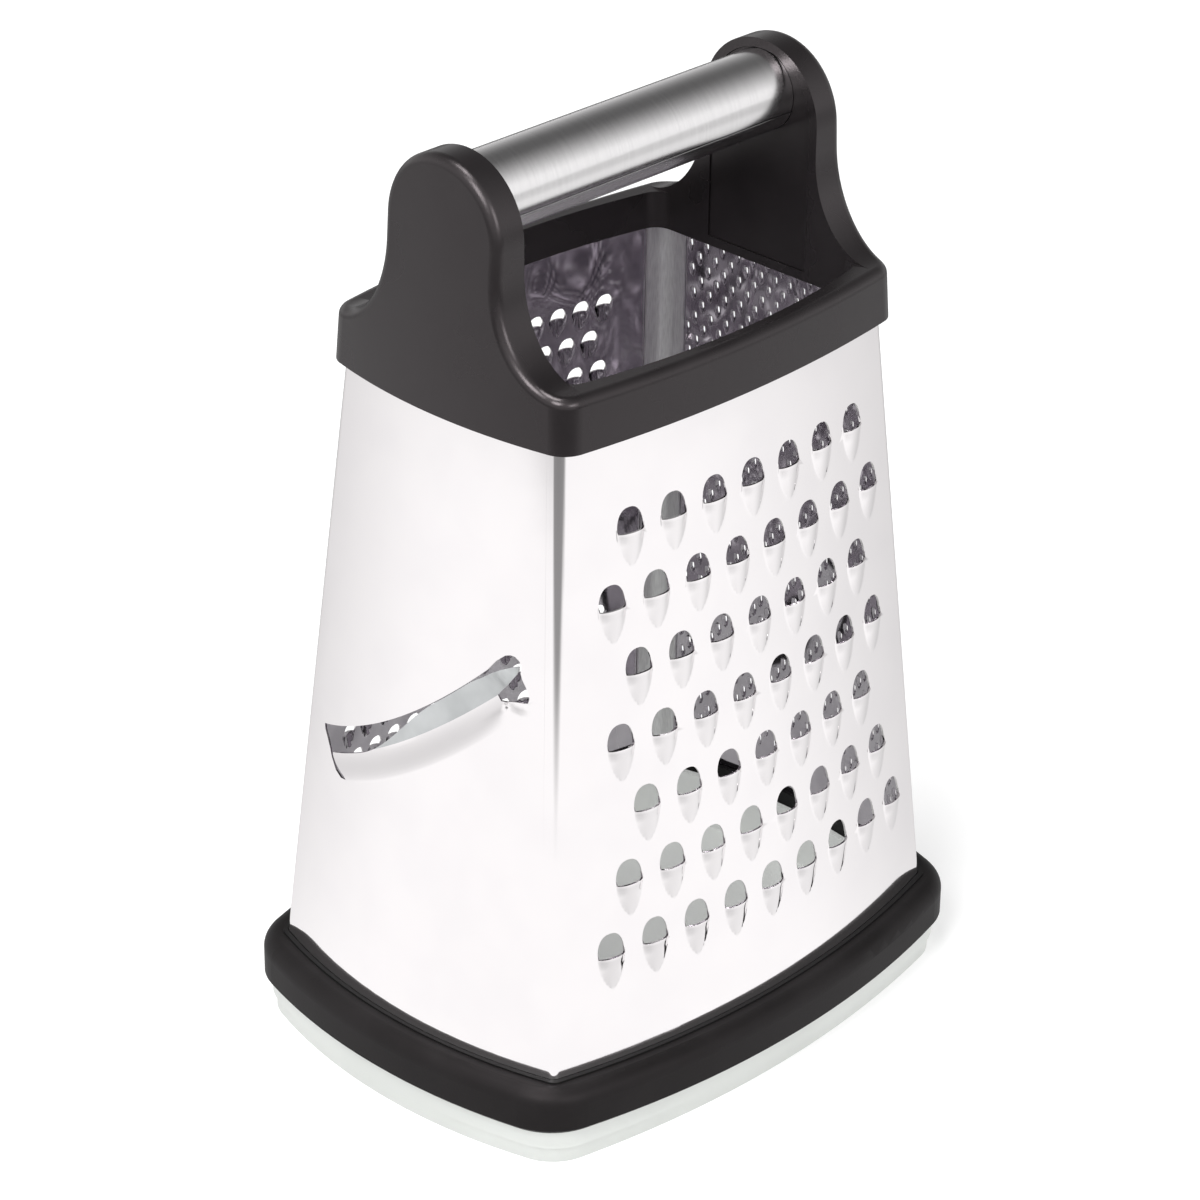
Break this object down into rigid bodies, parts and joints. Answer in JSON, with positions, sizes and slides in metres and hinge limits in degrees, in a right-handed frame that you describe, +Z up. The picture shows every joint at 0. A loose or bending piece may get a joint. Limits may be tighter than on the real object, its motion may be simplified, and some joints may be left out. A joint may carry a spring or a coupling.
{
  "type": "box grater",
  "caption": "Four-sided stainless box grater with bowed walls, a round bar handle on two posts, a soft non-slip foot ring and a pull-off catch tray.",
  "frame": {"origin": "on the table under the centre of the catch tray", "axes": "+Z up through the handle; +X along the handle tube, towards the fine side; -Y towards the coarse side"},
  "size_m": [0.1676, 0.1304, 0.246],
  "materials": {
    "polished_sheet": "mirror polished stainless sheet",
    "strip_steel": "plain mill finish",
    "frame_black": "satin black moulding",
    "cover_black": "satin black moulding",
    "tube_steel": "brushed round the tube",
    "plug_nylon": "natural nylon",
    "screw_steel": "zinc plated",
    "carrier_grey": "matt grey moulding",
    "ring_rubber": "soft matt black",
    "tray_frosted": "frosted, nearly white"
  },
  "bodies": {
    "grater": {"coarse_panel": "polished_sheet", "slicing_panel": "polished_sheet", "medium_panel": "polished_sheet", "fine_panel": "polished_sheet", "front_seam_strip": "strip_steel", "left_seam_strip": "strip_steel", "back_seam_strip": "strip_steel", "right_seam_strip": "strip_steel", "top_frame": "frame_black", "left_handle_cover": "cover_black", "right_handle_cover": "cover_black", "handle_tube": "tube_steel", "left_tube_plug": "plug_nylon", "right_tube_plug": "plug_nylon", "handle_screws": "screw_steel", "base_carrier": "carrier_grey", "base_ring": "ring_rubber"},
    "tray": {"catch_tray": "tray_frosted"}
  },
  "joints": [
    {"name": "tray_pull", "type": "slide", "parent": "grater", "child": "tray", "axis": [0, 0, -1], "range_m": [0, 0.1]}
  ]
}
